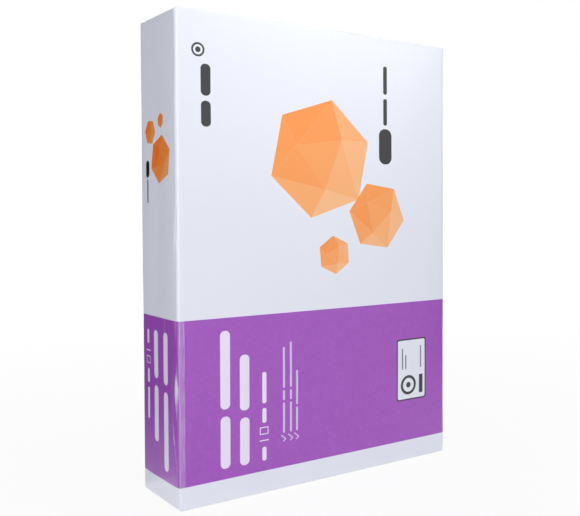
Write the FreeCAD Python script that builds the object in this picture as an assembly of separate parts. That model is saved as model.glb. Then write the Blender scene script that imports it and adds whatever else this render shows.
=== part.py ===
import FreeCAD, Part
import os

# Sealed ream of A4 copy paper in its printed wrapper, standing on a short end.
# X runs along the sheets' short side, Y through the stack and Z up their long side.
# The front is at -Y, and the origin is under the middle of the ream. Millimetres.

# The sheets
sheet_width = 210.0
sheet_length = 297.0
stack_thickness = 54.0

# How far the wrapper stands off the stack at its long edges and at its ends
side_gap = 0.45
end_gap = 0.2

# The wrapper bulges a little in the middle, most at half height
face_crown_middle = 0.6
face_crown_end = 0.2
side_crown_middle = 0.35
side_crown_end = 0.1

# Rounding where the wrapper turns round the stack
corner_radius = 2.4
end_radius = 1.5

# One folded layer at an end, with the air that it holds, and how far a flap reaches
flap_layer = 0.4
flap_reach = 37.0

# The glued lap up the back, from the sheet's free edge to where the upper sheet comes down
lap_edge_x = 14.0
lap_width = 25.0
lap_step = 0.25
lap_ramp = 5.0

# The front left edge was pressed flat between two creases
press_front = 4.2
press_side = 1.3

# Creases, as (height, distance in from the front left edge) of both tips, with the
# share of the way down at which the crease is deepest, its depth and its half width
side_creases = {
    "pinch": ((91.0, 0.6), (57.0, 2.4), 0.55, 0.9, 3.2),
    "pinch_tail": ((55.0, 6.4), (17.0, 1.0), 0.35, 0.45, 1.1),
    "upper_nip": ((186.0, 0.4), (150.0, 3.2), 0.6, 0.5, 1.5),
}
front_creases = {
    "top_crease": ((296.0, 106.0), (246.0, 121.0), 0.45, 0.3, 3.0),
    "top_right_crease": ((295.0, 168.0), (268.0, 181.0), 0.4, 0.22, 2.4),
}

# Tools reach this far past the solid, so that no cut ends on a face
overshoot = 5.0

body_width = sheet_width + 2 * side_gap
body_thickness = stack_thickness + 2 * side_gap
layers_at_an_end = 3
height = sheet_length + 2 * (end_gap + layers_at_an_end * flap_layer)
half_width = body_width / 2
half_thickness = body_thickness / 2

Vector = FreeCAD.Vector
UP = Vector(0, 0, 1)


def shallow_arc(start, end, outward, crown):
    """One side of the outline, which bulges outward by the crown at its middle."""
    middle = (start + end) * 0.5 + outward * crown
    return Part.Arc(start, middle, end).toShape()


def outline(z, face_crown, side_crown, growth=0.0):
    """The wrapper's outline at one height: four shallow arcs joined by round corners."""
    x = half_width - side_crown_middle - corner_radius
    y = half_thickness - corner_radius
    front_left = Vector(-x, -y, z)
    front_right = Vector(x, -y, z)
    back_right = Vector(x, y, z)
    back_left = Vector(-x, y, z)
    cornered = Part.Wire(
        [
            shallow_arc(front_left, front_right, Vector(0, -1, 0), face_crown),
            shallow_arc(front_right, back_right, Vector(1, 0, 0), side_crown),
            shallow_arc(back_right, back_left, Vector(0, 1, 0), face_crown),
            shallow_arc(back_left, front_left, Vector(-1, 0, 0), side_crown),
        ]
    )
    return cornered.makeOffset2D(corner_radius + growth)


def wrapped_block(growth=0.0, end_inset=0.0):
    """The full ream before its ends are shaped, grown outward and shortened if asked."""
    low = end_inset
    high = height - end_inset
    block = Part.makeLoft(
        [
            outline(low, face_crown_end, side_crown_end, growth),
            outline(height / 2, face_crown_middle, side_crown_middle, growth),
            outline(high, face_crown_end, side_crown_end, growth),
        ],
        True,
    )
    level_faces = [f for f in block.Faces if abs(f.normalAt(0, 0).z) > 0.99]
    rims = [edge for face in level_faces for edge in face.Edges]
    return block.makeFillet(end_radius + growth, rims)


def prism(points, low, high):
    """A closed plan of (x, y) points, made solid between two heights."""
    corners = [Vector(x, y, low) for x, y in points]
    plan = Part.Face(Part.makePolygon(corners + corners[:1]))
    return plan.extrude(UP * (high - low))


def long_flap(side, low, high):
    """A long flap's plan: full width at its fold and cut back at 45 degrees to its free edge."""
    beyond = half_width + overshoot
    fold = side * (half_thickness + overshoot)
    free = side * (half_thickness - flap_reach)
    narrow = half_width - flap_reach
    points = [(-beyond, fold), (beyond, fold), (narrow, free), (-narrow, free)]
    return prism(points, low, high)


def end_relief():
    """What is cut from the lower end, so that the front flap lies over the back flap and
    both lie over the two tucked sides."""
    x = half_width + 2 * overshoot
    y = half_thickness + 2 * overshoot
    plate = [(-x, -y), (x, -y), (x, y), (-x, y)]
    low = -overshoot
    clear_of_front = prism(plate, low, flap_layer)
    clear_of_both = prism(plate, low, 2 * flap_layer)
    front_flap = long_flap(-1, 2 * low, 2 * overshoot)
    back_flap = long_flap(1, 2 * low, 2 * overshoot)
    return clear_of_front.cut(front_flap).fuse(clear_of_both.cut([front_flap, back_flap]))


def back_lap():
    """The glued lap: one step at the sheet's free edge, a ramp on its other side, up the
    whole back and round onto the back flap at both ends."""
    inside = flap_reach - half_thickness
    far_x = lap_edge_x - lap_width
    sections = []
    for z, crown in (
        (-overshoot, face_crown_end),
        (height / 2, face_crown_middle),
        (height + overshoot, face_crown_end),
    ):
        surface = half_thickness + crown
        above = surface + 2 * lap_step
        below = surface - lap_step
        points = [
            Vector(lap_edge_x, inside, z),
            Vector(lap_edge_x, above, z),
            Vector(far_x, above, z),
            Vector(far_x - lap_ramp, below, z),
            Vector(far_x - lap_ramp, inside, z),
        ]
        sections.append(Part.makePolygon(points + points[:1]))
    sleeve = Part.makeLoft(sections, True)
    return sleeve.common(wrapped_block(lap_step, flap_layer - lap_step))


def pressed_edge():
    """A wedge that takes off the front left edge, from one crease to the other."""
    return prism(
        [
            (-half_width - overshoot, -half_thickness - overshoot),
            (-half_width + press_front, -half_thickness),
            (-half_width, -half_thickness + press_side),
        ],
        -overshoot,
        height + overshoot,
    )


def crease(top, foot, outward, deepest, depth, half_wide):
    """A spindle between two tips on the surface. Its inner ridge is the crease's bottom."""
    waist = top + (foot - top) * deepest
    across = outward.cross(foot - top).normalize() * half_wide
    ridge = waist - outward * depth
    triangle = Part.makePolygon(
        [ridge, waist + outward + across, waist + outward - across, ridge]
    )
    return Part.makeLoft([Part.Vertex(top), triangle, Part.Vertex(foot)], True, True)


def crease_tools():
    """Every crease in the left side and in the front."""
    tools = []
    left = Vector(-1, 0, 0)
    front = Vector(0, -1, 0)
    for (top_z, top_in), (foot_z, foot_in), deepest, depth, wide in side_creases.values():
        top = Vector(-half_width, -half_thickness + top_in, top_z)
        foot = Vector(-half_width, -half_thickness + foot_in, foot_z)
        tools.append(crease(top, foot, left, deepest, depth, wide))
    for (top_z, top_in), (foot_z, foot_in), deepest, depth, wide in front_creases.values():
        top = Vector(-half_width + top_in, -half_thickness, top_z)
        foot = Vector(-half_width + foot_in, -half_thickness, foot_z)
        tools.append(crease(top, foot, front, deepest, depth, wide))
    return tools


def wrapped_ream():
    """The whole sealed ream as one solid, with the origin under its middle."""
    lower_relief = end_relief()
    upper_relief = lower_relief.mirror(Vector(0, 0, height / 2), UP)
    ream = wrapped_block().cut([lower_relief, upper_relief])
    ream = ream.fuse(back_lap())
    ream = ream.cut([pressed_edge()] + crease_tools())
    ream = ream.removeSplitter()
    box = ream.optimalBoundingBox(False)
    ream.translate(Vector(-box.Center.x, -box.Center.y, -box.ZMin))
    return ream


os.makedirs("parts", exist_ok=True)
wrapped_ream().exportStep("parts/wrapped_ream.step")
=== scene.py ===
import math

import bpy
import numpy as np
from mathutils import Matrix, Vector
from mathutils.geometry import delaunay_2d_cdt


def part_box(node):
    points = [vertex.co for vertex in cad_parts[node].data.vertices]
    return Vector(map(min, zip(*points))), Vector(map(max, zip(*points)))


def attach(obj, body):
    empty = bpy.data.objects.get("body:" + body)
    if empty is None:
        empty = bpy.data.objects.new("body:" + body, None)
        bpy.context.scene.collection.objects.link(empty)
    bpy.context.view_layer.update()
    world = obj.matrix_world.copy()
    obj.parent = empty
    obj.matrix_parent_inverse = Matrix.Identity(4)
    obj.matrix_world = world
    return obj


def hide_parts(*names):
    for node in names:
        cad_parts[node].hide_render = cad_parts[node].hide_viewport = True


# Looks of a sealed ream of copy paper: one printed, gloss-laminated wrapper, folded and glued
# round the stack. Lengths are in millimetres until a mesh is made. The studio is in metres.

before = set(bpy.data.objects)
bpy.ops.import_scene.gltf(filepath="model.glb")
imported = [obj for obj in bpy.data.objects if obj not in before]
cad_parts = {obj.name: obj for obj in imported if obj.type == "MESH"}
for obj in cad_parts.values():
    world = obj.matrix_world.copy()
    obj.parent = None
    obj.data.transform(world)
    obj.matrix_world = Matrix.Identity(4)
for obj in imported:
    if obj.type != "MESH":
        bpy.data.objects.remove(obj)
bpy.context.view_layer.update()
cad_low, cad_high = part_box("wrapped_ream")

MM = 0.001
WIDTH = (cad_high.x - cad_low.x) / MM
THICKNESS = (cad_high.y - cad_low.y) / MM
HEIGHT = (cad_high.z - cad_low.z) / MM

# The wrapper's form, as in the part's source
CORNER_RADIUS = 2.4
END_RADIUS = 1.5
FACE_CROWN_MIDDLE = 0.6
FACE_CROWN_END = 0.2
SIDE_CROWN_MIDDLE = 0.35
SIDE_CROWN_END = 0.1
FLAP_LAYER = 0.4
FLAP_REACH = 37.0
LAP_EDGE_X = 14.0
LAP_WIDTH = 25.0
LAP_STEP = 0.25
LAP_RAMP = 5.0
PRESS_FRONT = 4.2
PRESS_SIDE = 1.3

# The pinch in the front left edge: how far it reaches over the front and the side, its
# height, how far up and down it fades out, and how far out its plane moves there
PINCH_FRONT = 1.6
PINCH_SIDE = 5.5
PINCH_HEIGHT = 73.0
PINCH_FADE = 10.0
PINCH_CLEAR = 1.6

# The block under the crown and the lap. The lap stands proud of the back alone.
HALF_X = WIDTH / 2 - SIDE_CROWN_MIDDLE
HALF_Y = (THICKNESS - LAP_STEP) / 2 - FACE_CROWN_MIDDLE
MIDDLE_Y = -LAP_STEP / 2

# Places on the printed sheet are (across, up). Across is 0 at the front left edge, grows to the
# right over the front, and is below 0 on the left side. Up is the height.

# Sharp creases: path, depth and half width
CREASES = (
    # across the top of the front
    (((106.0, 299.0), (110.5, 286.0), (116.0, 274.0), (120.0, 250.0)), 0.42, 3.2),
    (((168.0, 299.0), (172.0, 289.0), (178.5, 279.0)), 0.30, 2.6),
    # the second fold line inside the pressed edge
    (((1.9, 299.0), (2.2, 200.0), (1.7, 110.0), (2.1, 1.0)), 0.16, 0.7),
    # the rim of the pinch in the front left edge, and its tail
    (((-1.0, 91.0), (-5.6, 79.0), (-6.2, 71.0), (-5.2, 60.0), (-1.6, 45.0)), 0.65, 2.4),
    (((-8.3, 57.0), (-6.2, 42.0), (-2.4, 20.0)), 0.55, 1.4),
    # the nip higher up that edge
    (((-0.3, 184.0), (-3.2, 156.0), (-1.6, 149.0)), 0.50, 1.3),
    # soft lines up the left side, near the edge and further back
    (((-3.0, 204.0), (-2.6, 150.0), (-2.9, 106.0)), 0.10, 1.3),
    (((-18.3, 156.0), (-18.6, 120.0), (-18.2, 92.0)), 0.14, 1.1),
)

# Soft valleys (depth above 0) and swells (below 0): path, depth and half width
VALLEYS = (
    (((2.0, 268.0), (28.0, 254.0), (60.0, 246.0)), 0.35, 15.0),
    (((150.0, 296.0), (140.0, 262.0), (146.0, 225.0)), 0.30, 18.0),
    (((204.0, 262.0), (190.0, 215.0), (186.0, 170.0)), 0.28, 16.0),
    (((20.0, 30.0), (90.0, 22.0), (180.0, 34.0)), 0.22, 14.0),
    (((9.0, 104.0), (12.0, 70.0), (10.0, 34.0)), -0.40, 8.0),
    (((26.0, 100.0), (30.0, 60.0)), 0.22, 10.0),
    (((-38.0, 22.0), (-40.0, 10.0)), -0.35, 9.0),
    (((-30.0, 250.0), (-26.0, 180.0), (-30.0, 120.0)), 0.25, 10.0),
)

# A crease's soft shoulder: its height as a share of the crease's depth, then its place and
# width as shares of the crease's half width
SHOULDER_HEIGHT = 0.18
SHOULDER_PLACE = 1.25
SHOULDER_WIDTH = 0.5

# How far the paper falls away towards the right edge of the front, and on the left side
# towards its front edge. The left fall eases off between two heights to a share of itself.
RIGHT_FALL = 0.55
RIGHT_FALL_FROM = 188.0
LEFT_FALL = 0.30
LEFT_FALL_FROM = -8.0
LEFT_FALL_EASES = (150.0, 270.0)
LEFT_FALL_AT_TOP = 0.35

# How far from the ends the creases, the lift of the rim and the sheet's slackness fade out
RELIEF_FADE = 3.0
RIM_FADE = 9.0
SLACK_FADE = (0.5, 12.0)

# How wide the step at the edge of each folded layer is
STEP_RUN = 0.2

# Fine ripples of the laminated sheet
RIPPLE_HEIGHT = 0.24
RIPPLE_SIZE = 38.0
CRUMPLE_HEIGHT = 0.06
CRUMPLE_SIZE = 8.0

# Painted highlights, pale paper colour laid over the ink where the folds, pinch and soft lines
# catch the light:
# both ends on the sheet, width, soft edge, taper to the ends, and the least and most of the ink
# that the paint covers
FOLD_HIGHLIGHT_LINES = (
    # the band between the two folds of the front left edge, and each fold
    ((1.9, -9.0), (1.9, 309.0), 2.8, 0.7, 0.0, 0.05, 0.28),
    ((0.5, -9.0), (0.5, 309.0), 0.2, 0.7, 0.0, 0.02, 0.20),
    ((3.3, -9.0), (3.3, 309.0), 0.2, 0.7, 0.0, 0.00, 0.12),
    # the soft lines on the side, above the pinch and further back
    ((-2.6, 124.0), (-2.9, 100.0), 0.6, 1.6, 1.0, 0.06, 0.26),
    ((-18.5, 124.0), (-18.2, 92.0), 0.2, 0.7, 1.0, 0.10, 0.30),
    # the pinch, its tail, and the nip higher up
    ((-2.2, 90.0), (-2.4, 52.0), 2.2, 2.2, 1.0, 0.20, 0.50),
    ((-2.6, 84.0), (-3.0, 62.0), 2.8, 1.8, 1.0, 0.60, 0.90),
    ((-8.3, 58.0), (-2.4, 20.0), 0.3, 0.9, 1.0, 0.20, 0.50),
    ((-7.5, 52.0), (-5.6, 38.0), 0.4, 0.9, 1.0, 0.40, 0.75),
    ((-0.2, 186.0), (-3.2, 154.0), 0.4, 0.8, 1.0, 0.40, 0.90),
)

# The printed band, all round the pack
BAND_LOW = 14.2
BAND_HIGH = 114.0

# Ink runs out over this length at the edge of a printed shape
INK_EDGE = 0.22

# The printed sheet's scale and place in the UV map, and the gap there before each end
SHEET_SCALE = 600.0
SHEET_ACROSS = 205.0
SHEET_UP = 72.0
END_GAP = 8.0

# The printed gems: centre on the sheet, radius and turn in degrees
FRONT_GEMS = (
    ((101.0, 214.0), 40.0, 18.0),
    ((147.0, 176.0), 24.0, -8.0),
    ((111.0, 150.0), 13.0, 35.0),
)
SIDE_GEMS = (
    ((-22.5, 211.0), 15.0, 200.0),
    ((-38.5, 228.5), 8.0, 175.0),
    ((-22.0, 234.5), 4.6, 215.0),
)

# The thin bulleted lines on the band: place across, and the ends of each bar
BULLET_LINES = (
    (71.5, ((36.3, 56.0), (57.5, 64.0), (65.5, 92.0))),
    (76.7, ((36.3, 56.0), (57.5, 64.0), (65.5, 95.0))),
    (81.3, ((36.3, 52.0), (53.5, 76.0))),
)

PAPER_WHITE = "#EDEFF6"
BAND_PURPLE = "#A148BB"
BAND_MOTTLE = "#B162CA"
INK_WHITE = "#F3E8FA"
INK_DARK = "#16171C"
INK_LILAC = "#DCC6EC"
INK_GREY = "#5E6068"
FRONT_ORANGES = ("#FF963D", "#FFBE84")
SIDE_ORANGES = ("#FF7800", "#FFA657")
FLOOR_PALE = "#FAFAFC"
FILL_LIGHT = "#F4F6FF"


def linear_colour(hex_code):
    """An sRGB hex colour as the linear RGBA that a shader socket takes."""
    channels = [int(hex_code[i:i + 2], 16) / 255 for i in (1, 3, 5)]
    linear = [c / 12.92 if c <= 0.04045 else ((c + 0.055) / 1.055) ** 2.4 for c in channels]
    return (*linear, 1.0)


def add(tree, kind, settings=None, links=None):
    """Adds a node, sets its properties and input values, and links inputs to other sockets."""
    node = tree.nodes.new(kind)
    for name, value in (settings or {}).items():
        if isinstance(name, str) and hasattr(node, name):
            setattr(node, name, value)
        else:
            node.inputs[name].default_value = value
    for name, socket in (links or {}).items():
        tree.links.new(socket, node.inputs[name])
    return node


def graded(length, first, last, widest, growth=0.22):
    """Marks from 0 to a length, close together near both ends and wider between them."""
    marks = [0.0]
    while marks[-1] < length:
        here = marks[-1]
        from_end = max(length - here, 0.0)
        marks.append(here + min(first + growth * here, last + growth * from_end, widest))
    return np.array(marks) * length / marks[-1]


def smooth_step(value, low, high):
    """0 up to low, 1 from high on, and a smooth rise between them."""
    t = np.clip((value - low) / (high - low), 0.0, 1.0)
    return t * t * (3 - 2 * t)


def straight_run(start, end, spacing):
    """Stations along one flat side, as rows of x, y and the outward normal."""
    start = np.array(start)
    along = np.array(end) - start
    length = np.hypot(*along)
    along = along / length
    marks = graded(length, *spacing)[:, None]
    points = start + marks * along
    normals = np.tile([along[1], -along[0]], (len(points), 1))
    return np.hstack([points, normals])


def corner_run(centre, start_angle, steps):
    """Stations round one corner, without the two ends that its sides already have."""
    angles = np.radians(start_angle + 90.0 * np.arange(1, steps) / steps)
    normals = np.stack([np.cos(angles), np.sin(angles)], axis=1)
    return np.hstack([np.array(centre) + CORNER_RADIUS * normals, normals])


def outline_stations():
    """The wrapper's outline from the lap's free edge, by the left side and the front, back to
    the lap. Each station has x, y, the normal, and its place across the printed sheet."""
    x = HALF_X - CORNER_RADIUS
    y = HALF_Y - CORNER_RADIUS
    left, right = -HALF_X, HALF_X
    front, back = -HALF_Y + MIDDLE_Y, HALF_Y + MIDDLE_Y
    lap_foot = LAP_EDGE_X + LAP_STEP / 2
    # Each straight run has its spacing at its start, at its end and at its widest
    runs = [
        straight_run((LAP_EDGE_X, back), (-x, back), (0.6, 0.6, 3.2)),
        corner_run((-x, y + MIDDLE_Y), 90, 8),
        straight_run((left, y + MIDDLE_Y), (left, -y + MIDDLE_Y), (0.6, 0.28, 1.5)),
        corner_run((-x, -y + MIDDLE_Y), 180, 16),
        straight_run((-x, front), (x, front), (0.28, 0.6, 2.2)),
        corner_run((x, -y + MIDDLE_Y), 270, 8),
        straight_run((right, -y + MIDDLE_Y), (right, y + MIDDLE_Y), (0.6, 0.6, 2.4)),
        corner_run((x, y + MIDDLE_Y), 0, 8),
        straight_run((x, back), (lap_foot, back), (0.6, 0.6, 3.2)),
    ]
    stations = np.vstack(runs)
    steps = np.hypot(*np.diff(stations[:, :2], axis=0).T)
    across = np.concatenate([[0.0], np.cumsum(steps)])
    # Measured from the middle of the front left corner, which faces both ways alike
    uneven = np.abs(stations[:, 2] - stations[:, 3])
    uneven[stations[:, 2] > 0] = np.inf
    across -= across[np.argmin(uneven)]
    return np.hstack([stations, across[:, None]])


def row_stations():
    """Heights up the sleeve, with how far each row is drawn in where the ends are rounded."""
    turn = np.radians(np.linspace(90, 0, 7))
    inset = END_RADIUS * (1 - np.cos(turn))
    low = END_RADIUS * (1 - np.sin(turn))
    middle = END_RADIUS + graded(HEIGHT - 2 * END_RADIUS, 0.5, 0.5, 1.9)[1:-1]
    heights = np.concatenate([low, middle, HEIGHT - low[::-1]])
    insets = np.concatenate([inset, np.zeros(len(middle)), inset[::-1]])
    return heights, insets


def distance_along(across, up, path):
    """Distance from each place to a path on the sheet, and the share of the path there."""
    points = np.array(path)
    lengths = np.hypot(*np.diff(points, axis=0).T)
    before = np.concatenate([[0.0], np.cumsum(lengths)])
    nearest = np.full(across.shape, np.inf)
    share = np.zeros(across.shape)
    for i, length in enumerate(lengths):
        along = (points[i + 1] - points[i]) / length
        reach = (across - points[i][0]) * along[0] + (up - points[i][1]) * along[1]
        reach = np.clip(reach, 0.0, length)
        gap_across = across - points[i][0] - reach * along[0]
        gap_up = up - points[i][1] - reach * along[1]
        gap = np.hypot(gap_across, gap_up)
        closer = gap < nearest
        nearest = np.where(closer, gap, nearest)
        share = np.where(closer, (before[i] + reach) / before[-1], share)
    return nearest, share


def relief(across, up):
    """How far the sheet stands in or out from the plain block, from every crease and valley."""
    height = np.zeros(across.shape)
    for path, depth, half_width in CREASES:
        gap, share = distance_along(across, up, path)
        taper = np.sin(np.pi * np.clip(share, 0.02, 0.98)) ** 0.6
        groove = np.clip(1 - gap / half_width, 0.0, 1.0) ** 1.6
        from_shoulder = (gap / half_width - SHOULDER_PLACE) / SHOULDER_WIDTH
        shoulder = np.exp(-from_shoulder ** 2)
        height -= depth * taper * (groove - SHOULDER_HEIGHT * shoulder)
    for path, depth, half_width in VALLEYS:
        gap, _ = distance_along(across, up, path)
        height -= depth * np.exp(-((gap / half_width) ** 2))
    past = np.clip((across - RIGHT_FALL_FROM) / (WIDTH - RIGHT_FALL_FROM), 0.0, 1.0)
    on_front = across < WIDTH - CORNER_RADIUS / 2
    height -= RIGHT_FALL * past ** 2 * on_front
    past = np.clip(1 - across / LEFT_FALL_FROM, 0.0, 1.0)
    eased = 1 - (1 - LEFT_FALL_AT_TOP) * smooth_step(up, *LEFT_FALL_EASES)
    return height - LEFT_FALL * eased * past ** 2 * (across < 0)


def crown(x, y, normal_x, normal_y, up):
    """The wrapper's slight bulge round the stack, most at half height."""
    middle = 1 - (2 * up / HEIGHT - 1) ** 2
    face = FACE_CROWN_END + (FACE_CROWN_MIDDLE - FACE_CROWN_END) * middle
    side = SIDE_CROWN_END + (SIDE_CROWN_MIDDLE - SIDE_CROWN_END) * middle
    face = face * (1 - (x / HALF_X) ** 2) * normal_y ** 2
    side = side * (1 - ((y - MIDDLE_Y) / HALF_Y) ** 2) * normal_x ** 2
    return face + side


def lap_height(x, normal_y):
    """The glued lap up the back: a step at its free edge and a ramp on its other side."""
    foot = LAP_EDGE_X - LAP_WIDTH
    raised = smooth_step(x, foot - LAP_RAMP, foot) * (x <= LAP_EDGE_X)
    return LAP_STEP * raised * (normal_y > 0.9)


def rim_level(normal_y):
    """How deep each side's rim lies, a layer's height for each folded layer missing there:
    none at the front, one at the back and two at the short sides."""
    corner = (0.45, 0.9)
    front = smooth_step(-normal_y, *corner)
    back = smooth_step(normal_y, *corner)
    return FLAP_LAYER * (2 - 2 * front - back)


def press_edge(x, y, on_front, on_side, clear=0.0):
    """Flattens the front left edge to a plane. It meets the front and the left side at those
    distances from the edge, or lies clear of that, further out."""
    left = -WIDTH / 2
    front = -THICKNESS / 2
    normal = -np.array([on_side, on_front]) / math.hypot(on_side, on_front)
    proud = (x - left - on_front) * normal[0] + (y - front) * normal[1] - clear
    softness = 0.12
    cut = softness * np.logaddexp(0.0, proud / softness)
    near = (x < 0) & (y < 0)
    return x - cut * normal[0] * near, y - cut * normal[1] * near


def sleeve_grid(stations, heights, insets):
    """Positions of the sleeve's grid of vertices, one row for each height."""
    x0, y0, normal_x, normal_y, across = stations.T
    up = heights[:, None]
    from_end = np.minimum(up, HEIGHT - up)
    out = crown(x0, y0, normal_x, normal_y, up) + lap_height(x0, normal_y)
    raised = relief(*np.meshgrid(across, heights))
    out = out + raised * smooth_step(from_end, 0.0, RELIEF_FADE)
    out = out - insets[:, None]
    x, y = press_edge(x0 + normal_x * out, y0 + normal_y * out, PRESS_FRONT, PRESS_SIDE)
    clear = PINCH_CLEAR * (1 - np.exp(-((up - PINCH_HEIGHT) / PINCH_FADE) ** 2))
    x, y = press_edge(x, y, PINCH_FRONT, PINCH_SIDE, clear)
    lift = rim_level(normal_y) * (1 - smooth_step(from_end, 0.0, RIM_FADE))
    z = up + lift * np.where(up < HEIGHT / 2, 1, -1)
    return np.stack([x, y, z], axis=2)


def inside_flap(x, y, side):
    """Distance inside a long flap's plan: side -1 is the front flap and 1 the back flap."""
    from_fold = HALF_Y + FACE_CROWN_END - side * (y - MIDDLE_Y)
    slanted = (HALF_X - from_fold - np.abs(x)) / math.sqrt(2)
    return np.minimum(slanted, FLAP_REACH - from_fold)


def fold_level(x, y):
    """Depth of the folded end under its outermost layer."""
    front = np.clip(inside_flap(x, y, -1) / STEP_RUN, 0.0, 1.0)
    back = np.clip(inside_flap(x, y, 1) / STEP_RUN, 0.0, 1.0)
    lap = smooth_step(x, LAP_EDGE_X - LAP_WIDTH - LAP_RAMP, LAP_EDGE_X - LAP_WIDTH)
    lap = lap * np.clip((LAP_EDGE_X + STEP_RUN - x) / STEP_RUN, 0.0, 1.0)
    under_front = FLAP_LAYER * (2 - back) - LAP_STEP * lap * back
    return under_front * (1 - front)


def flap_lines():
    """Where each step of the folded end begins and ends, as pairs of plan points."""
    lines = []
    fold = HALF_Y + FACE_CROWN_END
    free = fold - FLAP_REACH
    corner = 1.3 * END_RADIUS
    clear_of_flap = 0.3
    for inset in (0.0, STEP_RUN):
        slant = inset * math.sqrt(2)
        narrow = HALF_X - FLAP_REACH - slant + inset
        wide = HALF_X - corner - slant
        meet = HALF_X - fold - slant
        free_y = MIDDLE_Y - free - inset
        lines.append(((-narrow, free_y), (narrow, free_y)))
        for hand in (-1, 1):
            front_corner = (hand * wide, MIDDLE_Y - fold + corner)
            back_corner = (hand * wide, MIDDLE_Y + fold - corner)
            lines.append((front_corner, (hand * narrow, free_y)))
            lines.append((back_corner, (hand * meet, MIDDLE_Y)))
        lap_x = LAP_EDGE_X + inset
        lap_start = (lap_x, free_y + clear_of_flap)
        lines.append((lap_start, (lap_x, MIDDLE_Y + fold - corner)))
    return lines


def gap_to_line(x, y, line):
    """Distance in plan from each place to the line between two plan points."""
    start, end = np.array(line[0]), np.array(line[1])
    along = end - start
    share = ((x - start[0]) * along[0] + (y - start[1]) * along[1]) / (along @ along)
    share = np.clip(share, 0.0, 1.0)
    return np.hypot(x - start[0] - share * along[0], y - start[1] - share * along[1])


def end_plan(ring):
    """Triangles over one end: its rim, the steps of its folds, and a grid between them."""
    lines = flap_lines()
    spacing = 2.6
    clear_of_rim = 0.9
    clear_of_steps = 0.8
    across = np.arange(-HALF_X, HALF_X, spacing)
    through = np.arange(-HALF_Y, HALF_Y, spacing)
    x, y = [grid.ravel() for grid in np.meshgrid(across, through + MIDDLE_Y)]
    room = np.minimum(HALF_X - np.abs(x), HALF_Y - np.abs(y - MIDDLE_Y))
    keep = room > END_RADIUS + clear_of_rim
    for line in lines:
        keep &= gap_to_line(x, y, line) > clear_of_steps
    points = [Vector(point) for point in ring]
    edges = [(i, (i + 1) % len(ring)) for i in range(len(ring))]
    for line in lines:
        edges.append((len(points), len(points) + 1))
        points += [Vector(line[0]), Vector(line[1])]
    points += [Vector((a, b)) for a, b in zip(x[keep], y[keep])]
    rim = [list(range(len(ring)))]
    inside_rim_only = 1
    tolerance = 1e-5
    plan, _, faces, sources, _, _ = delaunay_2d_cdt(points, edges, rim, inside_rim_only, tolerance)
    return plan, faces, sources


def sleeve_faces(heights, across):
    """The sleeve's faces, and the places of their corners on the printed sheet."""
    columns = len(across)
    whole_way = across[-1] + LAP_STEP / 2
    faces = []
    places = []
    for row, (low, high) in enumerate(zip(heights[:-1], heights[1:])):
        here = row * columns
        above = here + columns
        for column in range(columns):
            after = (column + 1) % columns
            faces.append((here + column, here + after, above + after, above + column))
            near = across[column]
            far = across[after] if after else whole_way
            places += [(near, low), (far, low), (far, high), (near, high)]
    return faces, places


def end_faces(top, ring, ring_start, vertices):
    """One folded end's faces, and the places of their corners on the printed sheet. The
    vertices inside its rim are added to the list."""
    plan, triangles, sources = end_plan(ring[:, :2])
    index = []
    for point, source in zip(plan, sources):
        on_rim = [s for s in source if s < len(ring)]
        if on_rim:
            index.append(ring_start + on_rim[0])
            continue
        depth = float(fold_level(np.array(point.x), np.array(point.y)))
        index.append(len(vertices))
        vertices.append((point.x, point.y, HEIGHT - depth if top else depth))
    start = HEIGHT + END_GAP if top else -END_GAP
    turn = 1 if top else -1
    faces = []
    places = []
    for triangle in triangles:
        corners = triangle if top else triangle[::-1]
        faces.append(tuple(index[c] for c in corners))
        for c in corners:
            from_front = plan[c].y + THICKNESS / 2
            places.append((plan[c].x + WIDTH / 2, start + turn * from_front))
    return faces, places


def wrapper_mesh():
    """The whole wrapper as one closed mesh: the sleeve and both folded ends, with the places
    on the printed sheet as its UV map."""
    stations = outline_stations()
    heights, insets = row_stations()
    grid = sleeve_grid(stations, heights, insets)
    rows, columns = grid.shape[:2]
    vertices = grid.reshape(-1, 3).tolist()
    faces, places = sleeve_faces(heights, stations[:, 4])
    for top in (False, True):
        row = rows - 1 if top else 0
        more_faces, more_places = end_faces(top, grid[row], row * columns, vertices)
        faces += more_faces
        places += more_places
    mesh = bpy.data.meshes.new("printed_wrapper")
    mesh.from_pydata((np.array(vertices) * MM).tolist(), [], faces)
    places = (np.array(places) + (SHEET_ACROSS, SHEET_UP)) / SHEET_SCALE
    mesh.uv_layers.new(name="sheet").data.foreach_set("uv", places.ravel())
    up = np.array(vertices)[:, 2]
    slack = smooth_step(np.minimum(up, HEIGHT - up), *SLACK_FADE)
    mesh.attributes.new("slack", "FLOAT", "POINT").data.foreach_set("value", slack)
    mesh.validate()
    return mesh


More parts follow.
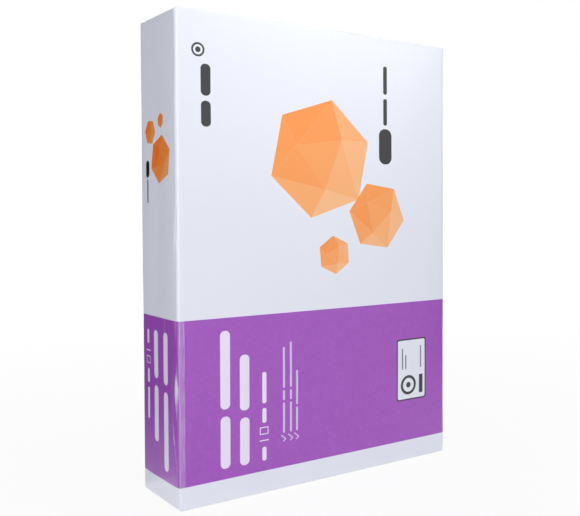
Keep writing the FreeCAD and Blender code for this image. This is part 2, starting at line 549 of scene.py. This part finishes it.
def ripple_tree(material):
    """Geometry nodes that let the slack sheet ripple a little, at two sizes."""
    tree = bpy.data.node_groups.new("slack_sheet_ripple", "GeometryNodeTree")
    sockets = tree.interface
    sockets.new_socket("Geometry", in_out="INPUT", socket_type="NodeSocketGeometry")
    for name in ("Ripple height", "Ripple size", "Crumple height", "Crumple size"):
        sockets.new_socket(name, in_out="INPUT", socket_type="NodeSocketFloat")
    sockets.new_socket("Geometry", in_out="OUTPUT", socket_type="NodeSocketGeometry")
    inputs = add(tree, "NodeGroupInput")
    place = add(tree, "GeometryNodeInputPosition")
    normal = add(tree, "GeometryNodeInputNormal")
    slack = add(tree, "GeometryNodeInputNamedAttribute", {"data_type": "FLOAT", "Name": "slack"})
    offsets = []
    for height, size, detail in (("Ripple height", "Ripple size", 1.0),
                                 ("Crumple height", "Crumple size", 2.0)):
        per_metre = add(tree, "ShaderNodeMath", {"operation": "DIVIDE", 0: 1.0},
                        {1: inputs.outputs[size]})
        noise = add(tree, "ShaderNodeTexNoise", {"Detail": detail, "Roughness": 0.4},
                    {"Vector": place.outputs[0], "Scale": per_metre.outputs[0]})
        centred = add(tree, "ShaderNodeMath", {"operation": "SUBTRACT", 1: 0.5},
                      {0: noise.outputs[0]})
        raised = add(tree, "ShaderNodeMath", {"operation": "MULTIPLY"},
                     {0: centred.outputs[0], 1: inputs.outputs[height]})
        offsets.append(raised.outputs[0])
    total = add(tree, "ShaderNodeMath", {"operation": "ADD"}, {0: offsets[0], 1: offsets[1]})
    held = add(tree, "ShaderNodeMath", {"operation": "MULTIPLY"},
               {0: total.outputs[0], 1: slack.outputs["Attribute"]})
    offset = add(tree, "ShaderNodeVectorMath", {"operation": "SCALE"},
                 {0: normal.outputs[0], "Scale": held.outputs[0]})
    moved = add(tree, "GeometryNodeSetPosition", None,
                {"Geometry": inputs.outputs["Geometry"], "Offset": offset.outputs[0]})
    real = add(tree, "GeometryNodeRealizeInstances", None, {"Geometry": moved.outputs[0]})
    dressed = add(tree, "GeometryNodeSetMaterial", {"Material": material},
                  {"Geometry": real.outputs[0]})
    add(tree, "NodeGroupOutput", None, {"Geometry": dressed.outputs[0]})
    return tree


def make_wrapper(material):
    """The wrapper as a finished piece, with its ripples turned into plain mesh."""
    piece = bpy.data.objects.new("printed_wrapper", wrapper_mesh())
    bpy.context.scene.collection.objects.link(piece)
    piece.data.materials.append(material)
    modifier = piece.modifiers.new("ripple", "NODES")
    modifier.node_group = ripple_tree(material)
    # The noise lies within half of its height each way, so it gets twice the height
    sizes = {
        "Ripple height": 2 * RIPPLE_HEIGHT * MM,
        "Ripple size": RIPPLE_SIZE * MM,
        "Crumple height": 2 * CRUMPLE_HEIGHT * MM,
        "Crumple size": CRUMPLE_SIZE * MM,
    }
    for item in modifier.node_group.interface.items_tree:
        if item.name in sizes:
            modifier[item.identifier] = sizes[item.name]
    evaluated = piece.evaluated_get(bpy.context.evaluated_depsgraph_get())
    finished = bpy.data.meshes.new_from_object(evaluated)
    piece.modifiers.remove(modifier)
    piece.data = finished
    finished.shade_smooth()
    finished.set_sharp_from_angle(angle=math.radians(32))
    return piece


def mask_group(name, vectors, floats=()):
    """A new shader group that turns a place on the sheet into a printed shape's mask."""
    tree = bpy.data.node_groups.new(name, "ShaderNodeTree")
    for socket in ("Sheet", *vectors):
        tree.interface.new_socket(socket, in_out="INPUT", socket_type="NodeSocketVector")
    for socket in floats:
        tree.interface.new_socket(socket, in_out="INPUT", socket_type="NodeSocketFloat")
    tree.interface.new_socket("Mask", in_out="OUTPUT", socket_type="NodeSocketFloat")
    return tree, add(tree, "NodeGroupInput")


def finish_mask(tree, distance):
    """Ink where the distance is below 0, with a narrow soft edge."""
    mask = add(tree, "ShaderNodeMapRange",
               {"From Min": INK_EDGE / 2, "From Max": -INK_EDGE / 2}, {"Value": distance})
    add(tree, "NodeGroupOutput", None, {"Mask": mask.outputs[0]})


def bar_group():
    """A bar with round corners, from its centre and half size."""
    tree, inputs = mask_group("printed_bar", ("Centre", "Half size"), ("Corner",))
    apart = add(tree, "ShaderNodeVectorMath", {"operation": "SUBTRACT"},
                {0: inputs.outputs["Sheet"], 1: inputs.outputs["Centre"]})
    size = add(tree, "ShaderNodeVectorMath", {"operation": "ABSOLUTE"}, {0: apart.outputs[0]})
    past = add(tree, "ShaderNodeVectorMath", {"operation": "SUBTRACT"},
               {0: size.outputs[0], 1: inputs.outputs["Half size"]})
    corner = add(tree, "ShaderNodeCombineXYZ", None,
                 {"X": inputs.outputs["Corner"], "Y": inputs.outputs["Corner"]})
    inner = add(tree, "ShaderNodeVectorMath", {"operation": "ADD"},
                {0: past.outputs[0], 1: corner.outputs[0]})
    clipped = add(tree, "ShaderNodeVectorMath", {"operation": "MAXIMUM", 1: (0.0, 0.0, 0.0)},
                  {0: inner.outputs[0]})
    flat = add(tree, "ShaderNodeVectorMath", {"operation": "MULTIPLY", 1: (1.0, 1.0, 0.0)},
               {0: clipped.outputs[0]})
    reach = add(tree, "ShaderNodeVectorMath", {"operation": "LENGTH"}, {0: flat.outputs[0]})
    distance = add(tree, "ShaderNodeMath", {"operation": "SUBTRACT"},
                   {0: reach.outputs["Value"], 1: inputs.outputs["Corner"]})
    finish_mask(tree, distance.outputs[0])
    return tree


def facet_group():
    """A triangle from its three edge lines, each as its normal and its offset. The sheet
    place has 1 as its third number, so one dot product gives the distance from a line."""
    edges = ("Edge 1", "Edge 2", "Edge 3")
    tree, inputs = mask_group("printed_facet", edges)
    apart = [
        add(tree, "ShaderNodeVectorMath", {"operation": "DOT_PRODUCT"},
            {0: inputs.outputs["Sheet"], 1: inputs.outputs[edge]}).outputs["Value"]
        for edge in edges
    ]
    widest = add(tree, "ShaderNodeMath", {"operation": "MAXIMUM"}, {0: apart[0], 1: apart[1]})
    widest = add(tree, "ShaderNodeMath", {"operation": "MAXIMUM"},
                 {0: widest.outputs[0], 1: apart[2]})
    finish_mask(tree, widest.outputs[0])
    return tree


def line_group():
    """A line between two places. Its width can taper to nothing at both ends, and its edge
    can be soft."""
    tree, inputs = mask_group("printed_line", ("Start", "End"), ("Width", "Soft edge", "Taper"))
    run = add(tree, "ShaderNodeVectorMath", {"operation": "SUBTRACT"},
              {0: inputs.outputs["End"], 1: inputs.outputs["Start"]})
    apart = add(tree, "ShaderNodeVectorMath", {"operation": "SUBTRACT"},
                {0: inputs.outputs["Sheet"], 1: inputs.outputs["Start"]})
    reach = add(tree, "ShaderNodeVectorMath", {"operation": "DOT_PRODUCT"},
                {0: apart.outputs[0], 1: run.outputs[0]})
    whole = add(tree, "ShaderNodeVectorMath", {"operation": "DOT_PRODUCT"},
                {0: run.outputs[0], 1: run.outputs[0]})
    share = add(tree, "ShaderNodeMath", {"operation": "DIVIDE", "use_clamp": True},
                {0: reach.outputs["Value"], 1: whole.outputs["Value"]})
    foot = add(tree, "ShaderNodeVectorMath", {"operation": "SCALE"},
               {0: run.outputs[0], "Scale": share.outputs[0]})
    gap = add(tree, "ShaderNodeVectorMath", {"operation": "DISTANCE"},
              {0: apart.outputs[0], 1: foot.outputs[0]})
    from_end = add(tree, "ShaderNodeMath", {"operation": "PINGPONG", 1: 0.5},
                   {0: share.outputs[0]})
    narrow = add(tree, "ShaderNodeMapRange", {"From Max": 0.5, "To Max": 1.0},
                 {"Value": from_end.outputs[0]})
    blunt = add(tree, "ShaderNodeMath", {"operation": "SUBTRACT", 0: 1.0},
                {1: inputs.outputs["Taper"]})
    kept = add(tree, "ShaderNodeMath", {"operation": "MAXIMUM"},
               {0: narrow.outputs[0], 1: blunt.outputs[0]})
    half = add(tree, "ShaderNodeMath", {"operation": "MULTIPLY"},
               {0: kept.outputs[0], 1: inputs.outputs["Width"]})
    half = add(tree, "ShaderNodeMath", {"operation": "MULTIPLY", 1: 0.5}, {0: half.outputs[0]})
    soft = add(tree, "ShaderNodeMath", {"operation": "MULTIPLY"},
               {0: kept.outputs[0], 1: inputs.outputs["Soft edge"]})
    outside = add(tree, "ShaderNodeMath", {"operation": "ADD"},
                  {0: half.outputs[0], 1: soft.outputs[0]})
    mask = add(tree, "ShaderNodeMapRange", {
        "interpolation_type": "SMOOTHSTEP", "To Min": 1.0, "To Max": 0.0,
    }, {"Value": gap.outputs["Value"], "From Min": half.outputs[0],
        "From Max": outside.outputs[0]})
    add(tree, "NodeGroupOutput", None, {"Mask": mask.outputs[0]})
    return tree


class Print:
    """Paints shapes one over another on the wrapper's colour, in sheet millimetres."""

    def __init__(self, tree, place, paper):
        self.tree = tree
        self.place = place
        self.bar_tree = bar_group()
        self.facet_tree = facet_group()
        self.line_tree = line_group()
        base = add(tree, "ShaderNodeRGB")
        base.outputs[0].default_value = linear_colour(paper)
        self.colour = base.outputs[0]

    def paint(self, masks, ink, strength=None):
        """Lays one ink over the colour so far wherever any of the masks is set. A strength
        socket thins it."""
        mask = masks[0]
        for other in masks[1:]:
            mask = add(self.tree, "ShaderNodeMath", {"operation": "MAXIMUM"},
                       {0: mask, 1: other}).outputs[0]
        if strength:
            mask = add(self.tree, "ShaderNodeMath", {"operation": "MULTIPLY"},
                       {0: mask, 1: strength}).outputs[0]
        mix = add(self.tree, "ShaderNodeMix", {"data_type": "RGBA"}, {0: mask, 6: self.colour})
        mix.inputs[7].default_value = linear_colour(ink)
        self.colour = mix.outputs[2]

    def bar(self, left, right, low, high, corner=INK_EDGE):
        """The mask of a bar between two places across and two heights."""
        node = add(self.tree, "ShaderNodeGroup", {"node_tree": self.bar_tree},
                   {"Sheet": self.place})
        node.inputs["Centre"].default_value = ((left + right) / 2, (low + high) / 2, 1.0)
        node.inputs["Half size"].default_value = ((right - left) / 2, (high - low) / 2, 0.0)
        node.inputs["Corner"].default_value = corner
        return node.outputs[0]

    def facet(self, corners):
        """The mask of a triangle, with its corners in anticlockwise order."""
        node = add(self.tree, "ShaderNodeGroup", {"node_tree": self.facet_tree},
                   {"Sheet": self.place})
        for i in range(3):
            start = np.array(corners[i])
            along = np.array(corners[(i + 1) % 3]) - start
            outward = np.array([along[1], -along[0]]) / np.hypot(*along)
            line = (outward[0], outward[1], -float(outward @ start))
            node.inputs[f"Edge {i + 1}"].default_value = line
        return node.outputs[0]

    def line(self, start, end, width, soft_edge=INK_EDGE, taper=0.0):
        """The mask of a line between two places on the sheet."""
        node = add(self.tree, "ShaderNodeGroup", {"node_tree": self.line_tree},
                   {"Sheet": self.place})
        node.inputs["Start"].default_value = (*start, 1.0)
        node.inputs["End"].default_value = (*end, 1.0)
        node.inputs["Width"].default_value = width
        node.inputs["Soft edge"].default_value = soft_edge
        node.inputs["Taper"].default_value = taper
        return node.outputs[0]


def gem_facets(centre, radius, turn):
    """A faceted gem: a hexagon round a triangle, cut into ten facets. Gives each facet's
    corners and how much light it catches, from 0 to 1."""
    inner_radius = 0.52 * radius
    twist = 0.35
    centre = np.array(centre)
    angles = np.radians(turn + 60 * np.arange(6))
    outer = centre + radius * np.stack([np.cos(angles), np.sin(angles)], axis=1)
    twisted = angles[::2] + twist
    inner = centre + inner_radius * np.stack([np.cos(twisted), np.sin(twisted)], axis=1)
    facets = [tuple(inner)]
    for i in range(3):
        before, here, after = outer[2 * i - 1], outer[2 * i], outer[2 * i + 1]
        facets.append((inner[i], before, here))
        facets.append((inner[i], here, after))
        facets.append((inner[i], after, inner[(i + 1) % 3]))
    # Palest at the lower right, with a step between neighbours
    shares = []
    for number, facet in enumerate(facets):
        lean = (np.mean(facet, axis=0) - centre) / radius
        step = 0.14 * (number % 3 - 1)
        share = 0.5 + 0.55 * lean[0] - 0.45 * lean[1] + step
        shares.append(float(np.clip(share, 0.0, 1.0)))
    return list(zip(facets, shares))


def mixed_hex(first, second, share):
    """The hex colour that lies a share of the way from one hex colour to another."""
    channels = []
    for i in (1, 3, 5):
        low, high = int(first[i:i + 2], 16), int(second[i:i + 2], 16)
        channels.append(round(low + (high - low) * share))
    return "#" + "".join(f"{c:02X}" for c in channels)


def print_gem(sheet, centre, radius, turn, oranges):
    """One gem, facet by facet, in colours between two oranges."""
    for corners, share in gem_facets(centre, radius, turn):
        sheet.paint([sheet.facet(corners)], mixed_hex(*oranges, share))


def line_of_bars(sheet, place, thickness, ends):
    """The masks of one printed line: plain rounded bars up the sheet."""
    half = thickness / 2
    corner = 0.45 * thickness
    return [sheet.bar(place - half, place + half, low, high, corner) for low, high in ends]


def check_mark(sheet, place):
    """The masks of a check mark at the foot of a bulleted line: a short and a long stroke."""
    turn = (place + 1.3, 32.2)
    stroke = 0.6
    return [sheet.line((place - 0.4, 30.9), turn, stroke),
            sheet.line(turn, (place - 1.8, 34.8), stroke)]


def print_band(sheet):
    """The purple band all round the pack. Its ink lies a little unevenly, in flecks of about
    2.5 mm."""
    band = sheet.bar(-SHEET_ACROSS, SHEET_SCALE, BAND_LOW, BAND_HIGH)
    flecks = add(sheet.tree, "ShaderNodeTexNoise", {"Scale": 0.4, "Detail": 2.0},
                 {"Vector": sheet.place})
    thin = add(sheet.tree, "ShaderNodeMapRange", {
        "From Min": 0.3, "From Max": 0.7, "To Max": 0.26,
    }, {"Value": flecks.outputs[0]})
    sheet.paint([band], BAND_PURPLE)
    sheet.paint([band], BAND_MOTTLE, thin.outputs[0])


def print_front(sheet):
    """What the front carries: three gems, rings, lines of plain bars and a label."""
    for centre, radius, turn in FRONT_GEMS:
        print_gem(sheet, centre, radius, turn, FRONT_ORANGES)
    print_rings(sheet, (13.9, 275.6), (4.2, 3.0, 1.7))
    sheet.paint(line_of_bars(sheet, 18.7, 6.4, ((230.0, 245.5), (248.5, 267.5))), INK_DARK)
    sheet.paint(line_of_bars(sheet, 154.2, 11.0, ((212.0, 236.5),)), INK_DARK)
    sheet.paint(line_of_bars(sheet, 154.2, 3.2, ((239.0, 257.5), (260.5, 280.0))), INK_DARK)
    bars = line_of_bars(sheet, 30.1, 6.6, ((20.7, 53.0), (57.5, 106.0)))
    bars += line_of_bars(sheet, 43.3, 6.6, ((20.5, 50.5), (55.0, 90.0)))
    bars += line_of_bars(sheet, 57.2, 3.0, ((20.8, 29.6), (45.0, 54.5), (57.5, 77.5)))
    bars.append(sheet.bar(53.8, 60.4, 33.4, 34.1))
    sheet.paint(bars, INK_WHITE)
    small_bars = []
    for place, ends in BULLET_LINES:
        small_bars += line_of_bars(sheet, place, 1.5, ends)
        small_bars += check_mark(sheet, place)
    sheet.paint(small_bars, INK_LILAC)
    print_page_icon(sheet, 53.9, 37.6)
    print_label(sheet)


def print_page_icon(sheet, left, low):
    """A plain page, as an outline."""
    right = left + 6.2
    high = low + 4.8
    line = 0.6
    inside = (left + line, right - line, low + line, high - line)
    sheet.paint([sheet.bar(left, right, low, high, 0.5)], INK_WHITE)
    sheet.paint([sheet.bar(*inside, 0.3)], BAND_PURPLE)


def print_rings(sheet, centre, radii):
    """A dark disc with a pale disc on it, and a smaller dark one on that."""
    across, up = centre
    for radius, ink in zip(radii, (INK_DARK, PAPER_WHITE, INK_DARK)):
        disc = sheet.bar(across - radius, across + radius, up - radius, up + radius, radius)
        sheet.paint([disc], ink)


def print_label(sheet):
    """The small white plate on the band, with a ring and a few plain lines."""
    left, right, low, high = 164.3, 191.4, 43.2, 87.5
    line = 1.0
    inside = (left + line, right - line, low + line, high - line)
    sheet.paint([sheet.bar(left, right, low, high, 1.6)], INK_DARK)
    sheet.paint([sheet.bar(*inside, 1.2)], PAPER_WHITE)
    print_rings(sheet, (175.0, 54.2), (7.0, 5.0, 2.0))
    sheet.paint([sheet.bar(185.0, 188.4, 47.3, 60.8, 0.6)], INK_DARK)
    lines = [(169.0, 170.0, 65.8, 80.8), (172.0, 173.0, 65.8, 75.8), (186.0, 187.0, 65.8, 81.8)]
    sheet.paint([sheet.bar(*ends) for ends in lines], INK_GREY)


def print_left_side(sheet):
    """What the left side carries, smaller and turned the other way."""
    for centre, radius, turn in SIDE_GEMS:
        print_gem(sheet, centre, radius, turn, SIDE_ORANGES)
    sheet.paint(line_of_bars(sheet, -42.5, 5.2, ((200.5, 211.0),)), INK_DARK)
    sheet.paint(line_of_bars(sheet, -42.5, 1.6, ((184.5, 199.3),)), INK_DARK)
    bars = line_of_bars(sheet, -17.0, 6.2, ((20.5, 69.0), (73.5, 105.5)))
    bars += line_of_bars(sheet, -31.7, 6.2, ((36.0, 71.0), (75.5, 105.5)))
    bars += line_of_bars(sheet, -44.3, 3.0, ((48.0, 68.0), (71.0, 80.0), (96.0, 105.0)))
    bars.append(sheet.bar(-47.6, -40.8, 91.2, 91.9))
    sheet.paint(bars, INK_WHITE)
    print_page_icon(sheet, -47.4, 83.2)


def paint_fold_highlights(sheet):
    """Painted highlights: the paper's white laid thinly over the ink along the front left edge,
    most on its two folds, at the pinch and the nip, and on the side's soft lines."""
    # Streaks of about 0.6 mm by 14 mm, up the sheet
    streaks = add(sheet.tree, "ShaderNodeMapping", {"Scale": (1.6, 0.07, 1.0)},
                  {"Vector": sheet.place})
    grain = add(sheet.tree, "ShaderNodeTexNoise", {"Scale": 1.0, "Detail": 3.0},
                {"Vector": streaks.outputs[0]})
    for start, end, width, soft_edge, taper, least, most in FOLD_HIGHLIGHT_LINES:
        highlight_strength = add(sheet.tree, "ShaderNodeMapRange", {
            "From Min": 0.3, "From Max": 0.7, "To Min": least, "To Max": most,
        }, {"Value": grain.outputs[0]})
        mask = sheet.line(start, end, width, soft_edge, taper)
        # A painted highlight: the paper's white over the ink, made streaky by the grain
        sheet.paint([mask], PAPER_WHITE, highlight_strength.outputs[0])


def laminated_paper():
    """Gloss-laminated wrapping paper, offset printed in flat inks. The film gives a broad soft
    shine that breaks up where the sheet ripples."""
    material = bpy.data.materials.new("gloss_laminated_paper")
    material.use_nodes = True
    tree = material.node_tree
    tree.nodes.clear()
    uv = add(tree, "ShaderNodeUVMap", {"uv_map": "sheet"})
    place = add(tree, "ShaderNodeMapping", {
        "Scale": (SHEET_SCALE, SHEET_SCALE, 1.0),
        "Location": (-SHEET_ACROSS, -SHEET_UP, 1.0),
    }, {"Vector": uv.outputs[0]})
    sheet = Print(tree, place.outputs[0], PAPER_WHITE)
    print_band(sheet)
    print_front(sheet)
    print_left_side(sheet)
    # Painted highlights on the front left edge's folds, the pinch, the nip and the side's soft
    # lines
    paint_fold_highlights(sheet)
    # The film is uneven over about 1.8 mm
    film = add(tree, "ShaderNodeTexNoise", {"Scale": 0.55, "Detail": 3.0, "Roughness": 0.55},
               {"Vector": place.outputs[0]})
    bump = add(tree, "ShaderNodeBump", {"Strength": 0.2, "Distance": 0.0002},
               {"Height": film.outputs[0]})
    gloss = add(tree, "ShaderNodeMapRange", {"To Min": 0.34, "To Max": 0.46},
                {"Value": film.outputs[0]})
    surface = add(tree, "ShaderNodeBsdfPrincipled", {
        "IOR": 1.5,
        "Coat Weight": 0.65,
        "Coat Roughness": 0.28,
        "Coat IOR": 1.5,
    }, {
        "Base Color": sheet.colour,
        "Roughness": gloss.outputs[0],
        "Normal": bump.outputs[0],
    })
    add(tree, "ShaderNodeOutputMaterial", None, {"Surface": surface.outputs[0]})
    return material


def seen_rays(tree):
    """1 where the camera, a reflection or clear stock sees a surface, and 0 for all other
    light."""
    path = add(tree, "ShaderNodeLightPath")
    seen = add(tree, "ShaderNodeMath", {"operation": "MAXIMUM"},
               {0: path.outputs["Is Camera Ray"], 1: path.outputs["Is Glossy Ray"]})
    seen = add(tree, "ShaderNodeMath", {"operation": "MAXIMUM"},
               {0: seen.outputs[0], 1: path.outputs["Is Transmission Ray"]})
    return seen.outputs[0]


def make_floor():
    """A pale floor that keeps a little of the pack's shadow."""
    size = 4.0
    mesh = bpy.data.meshes.new("floor")
    corners = [(-size, -size, 0), (size, -size, 0), (size, size, 0), (-size, size, 0)]
    mesh.from_pydata(corners, [], [(0, 1, 2, 3)])
    floor = bpy.data.objects.new("floor", mesh)
    bpy.context.scene.collection.objects.link(floor)
    material = bpy.data.materials.new("pale_floor")
    material.use_nodes = True
    tree = material.node_tree
    tree.nodes.clear()
    matt = add(tree, "ShaderNodeBsdfDiffuse", {"Color": linear_colour(FLOOR_PALE)})
    white = add(tree, "ShaderNodeEmission", {"Strength": 1.0})
    # A little of the shadow shows near the pack, and none further out
    middle = add(tree, "ShaderNodeTexCoord")
    away = add(tree, "ShaderNodeVectorMath", {"operation": "LENGTH"},
               {0: middle.outputs["Object"]})
    fade = add(tree, "ShaderNodeMapRange", {
        "From Min": 0.15, "From Max": 0.75, "To Min": 0.90, "To Max": 1.0,
    }, {"Value": away.outputs["Value"]})
    share = add(tree, "ShaderNodeMath", {"operation": "MULTIPLY"},
                {0: seen_rays(tree), 1: fade.outputs[0]})
    mix = add(tree, "ShaderNodeMixShader", None,
              {0: share.outputs[0], 1: matt.outputs[0], 2: white.outputs[0]})
    add(tree, "ShaderNodeOutputMaterial", None, {"Surface": mix.outputs[0]})
    mesh.materials.append(material)


def make_world():
    """White to the eye and in reflections, and a lower even light on everything else."""
    world = bpy.data.worlds.new("studio")
    bpy.context.scene.world = world
    world.use_nodes = True
    tree = world.node_tree
    tree.nodes.clear()
    fill = add(tree, "ShaderNodeBackground", {"Color": linear_colour(FILL_LIGHT),
                                              "Strength": 0.52})
    white = add(tree, "ShaderNodeBackground", {"Strength": 1.0})
    white.inputs["Color"].default_value = (1.0, 1.0, 1.0, 1.0)
    mix = add(tree, "ShaderNodeMixShader", None,
              {0: seen_rays(tree), 1: fill.outputs[0], 2: white.outputs[0]})
    add(tree, "ShaderNodeOutputWorld", None, {"Surface": mix.outputs[0]})


def make_flag(name, rows, height):
    """A card on the floor that stands up at its far edge. Each row has its two ends on the
    floor and how bright the card is there. Only reflections see it."""
    above_floor = 0.002
    points = [(x, y, above_floor) for *ends, _ in rows for x, y in ends]
    points += [(x, y, height) for x, y in rows[-1][:2]]
    levels = [row[2] for row in rows for _ in range(2)] + [rows[-1][2]] * 2
    faces = [(2 * i, 2 * i + 1, 2 * i + 3, 2 * i + 2) for i in range(len(rows))]
    mesh = bpy.data.meshes.new(name)
    mesh.from_pydata(points, [], faces)
    mesh.attributes.new("level", "FLOAT", "POINT").data.foreach_set("value", levels)
    flag = bpy.data.objects.new(name, mesh)
    bpy.context.scene.collection.objects.link(flag)
    material = bpy.data.materials.new(name + "_card")
    material.use_nodes = True
    tree = material.node_tree
    tree.nodes.clear()
    level = add(tree, "ShaderNodeAttribute", {"attribute_name": "level"})
    card = add(tree, "ShaderNodeEmission", None, {"Strength": level.outputs["Fac"]})
    add(tree, "ShaderNodeOutputMaterial", None, {"Surface": card.outputs[0]})
    mesh.materials.append(material)
    flag.visible_camera = False
    flag.visible_diffuse = False
    flag.visible_shadow = False


def add_softbox(name, place, target, size, watts, tilt=0.0):
    """A large flat lamp that faces a target. A tilt in degrees turns it clockwise, as its
    target sees it."""
    lamp = bpy.data.lights.new(name, "AREA")
    lamp.shape = "RECTANGLE"
    lamp.size, lamp.size_y = size
    lamp.energy = watts
    light = bpy.data.objects.new(name, lamp)
    bpy.context.scene.collection.objects.link(light)
    light.location = place
    towards = Vector(target) - Vector(place)
    facing = towards.to_track_quat("-Z", "Y").to_matrix()
    tilted = facing @ Matrix.Rotation(math.radians(tilt), 3, "Z")
    light.rotation_euler = tilted.to_euler()
    return light


def add_top_spot():
    """A soft-edged lamp from high in front that fades out down the upper third of the front.
    Reflections don't see it."""
    lamp = bpy.data.lights.new("top_spot", "SPOT")
    lamp.energy = 31.0
    lamp.spot_size = math.radians(18.2)
    lamp.spot_blend = 1.0
    lamp.shadow_soft_size = 0.12
    light = bpy.data.objects.new("top_spot", lamp)
    bpy.context.scene.collection.objects.link(light)
    place, target = Vector((0.08, -1.25, 0.80)), Vector((0.02, 0.0, 0.41))
    light.location = place
    light.rotation_euler = (target - place).to_track_quat("-Z", "Y").to_euler()
    light.visible_glossy = False


def light_pack():
    """The studio's lamps, and the dark cards that the pack's shine needs."""
    # Behind the pack to the left, pale at its foot, so the left side doesn't mirror the whole
    # white studio at its shallow angle
    make_flag("left_flag", (
        ((-2.6, 0.03), (0.1, 0.03), 0.50),
        ((-2.6, 0.24), (0.1, 0.24), 0.01),
        ((-2.6, 1.30), (0.1, 1.30), 0.01),
    ), 1.8)
    # In front to the right, so the front's shine falls off towards its right edge
    make_flag("right_flag", (
        ((0.28, -0.21), (0.35, -0.07), 0.10),
        ((1.08, -1.04), (1.48, -0.27), 0.10),
    ), 0.9)
    middle = (0.0, 0.0, 0.15)
    add_softbox("key_softbox", (-0.77, -1.14, 0.29), middle, (0.7, 0.7), 5.35)
    add_softbox("top_softbox", (-0.1, -0.4, 1.4), (0.0, 0.0, 0.3), (0.8, 0.8), 4.1)
    add_softbox("back_softbox", (0.8, 2.2, 1.2), middle, (1.2, 1.2), 9.0)
    # Slanted, so that its shine crosses the upper part of the front
    strip = add_softbox("strip_softbox", (1.24, -1.93, 1.07), (0.0, 0.0, 0.25), (1.3, 0.5), 3.0,
                        tilt=-22.0)
    strip.visible_diffuse = False
    add_top_spot()


def make_camera():
    """The photograph's view: from the left of the pack, a little above half its height. The
    lens looks down by under 2 degrees and the frame is shifted, so that upright edges stay
    nearly upright."""
    image_width = 580.0
    focal_pixels = 826.9
    shift_pixels = (-92.5, -20.0)
    turn, tilt, roll = -37.38, 88.20, -0.06
    place = Vector((-304.1, -487.5, 178.7)) * MM
    camera_data = bpy.data.cameras.new("camera")
    camera_data.sensor_width = 36.0
    camera_data.lens = camera_data.sensor_width * focal_pixels / image_width
    # Both shifts count in widths of the image
    camera_data.shift_x, camera_data.shift_y = [shift / image_width for shift in shift_pixels]
    camera_data.clip_start = 0.01
    camera = bpy.data.objects.new("camera", camera_data)
    bpy.context.scene.collection.objects.link(camera)
    turned = Matrix.Translation(place)
    for degrees, axis in ((turn, "Z"), (tilt, "X"), (roll, "Z")):
        turned = turned @ Matrix.Rotation(math.radians(degrees), 4, axis)
    camera.matrix_world = turned
    bpy.context.scene.camera = camera


wrapper = make_wrapper(laminated_paper())
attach(wrapper, "root")
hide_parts("wrapped_ream")

make_floor()
make_world()
light_pack()
make_camera()
bpy.context.scene.view_settings.view_transform = "Standard"
